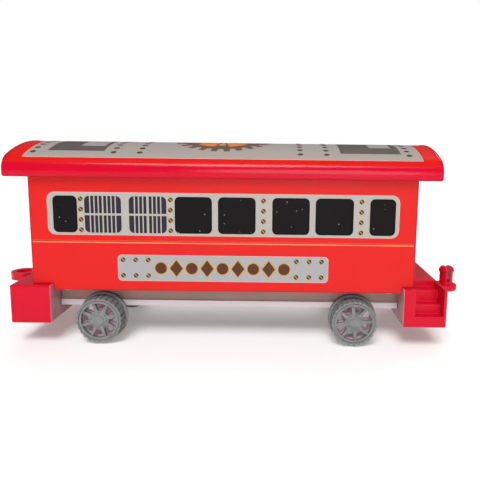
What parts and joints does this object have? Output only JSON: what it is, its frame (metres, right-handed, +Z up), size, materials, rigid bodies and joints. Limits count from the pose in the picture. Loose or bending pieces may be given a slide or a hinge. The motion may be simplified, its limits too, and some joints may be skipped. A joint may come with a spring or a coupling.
{
  "type": "model railway coach",
  "caption": "Toy railway coach with arched roof, printed window band, spoked wheelsets in a metal tub, stepped end box, drawbar eye and split coupling post.",
  "frame": {"origin": "middle of the overall length and width, at the height where the wheel flanges touch the ground", "axes": "+X to the rear, the end with the steps and the split post; +Z up; the left side is -Y"},
  "size_m": [0.2346, 0.0692, 0.0954],
  "materials": {
    "underframe_plastic": "gloss crimson moulding",
    "tub_metal": "satin silver-grey metal",
    "body_plastic": "gloss red moulding",
    "roof_plastic": "gloss crimson moulding",
    "coupling_plastic": "gloss crimson moulding",
    "printed_sheet": "semi-gloss orange-red print on film",
    "silver_print": "semi-gloss silver-grey print",
    "dark_print": "semi-gloss near-black print",
    "brass_print": "semi-gloss brass-brown print",
    "gold_print": "thin pale gold outline print",
    "wheel_plastic": "satin grey moulding",
    "steel": "plain steel rod and screws"
  },
  "bodies": {
    "coach": {"underframe": "underframe_plastic", "chassis_tub": "tub_metal", "body_shell": "body_plastic", "roof": "roof_plastic", "roof_sheet": "printed_sheet", "left_side_sheet": "printed_sheet", "right_side_sheet": "printed_sheet", "drawbar_pivot_screw": "steel", "rear_coupling": "coupling_plastic", "rear_coupling_screw": "steel", "body_screw_front_left": "steel", "body_screw_front_right": "steel", "body_screw_rear_left": "steel", "body_screw_rear_right": "steel", "roof_screw_front": "steel", "roof_screw_rear": "steel"},
    "front_wheelset": {"front_axle": "steel", "front_left_wheel": "wheel_plastic", "front_right_wheel": "wheel_plastic"},
    "rear_wheelset": {"rear_axle": "steel", "rear_left_wheel": "wheel_plastic", "rear_right_wheel": "wheel_plastic"},
    "drawbar": {"front_drawbar": "coupling_plastic"}
  },
  "joints": [
    {"name": "front_axle_spin", "type": "hinge", "parent": "coach", "child": "front_wheelset", "pos_m": [-0.0616, 0, 0.0117], "axis": [0, 1, 0], "continuous": true},
    {"name": "rear_axle_spin", "type": "hinge", "parent": "coach", "child": "rear_wheelset", "pos_m": [0.0592, 0, 0.0117], "axis": [0, 1, 0], "continuous": true},
    {"name": "drawbar_swing", "type": "hinge", "parent": "coach", "child": "drawbar", "pos_m": [-0.0936, 0, 0.02535], "axis": [0, 0, 1], "range_deg": [-20, 20]}
  ]
}
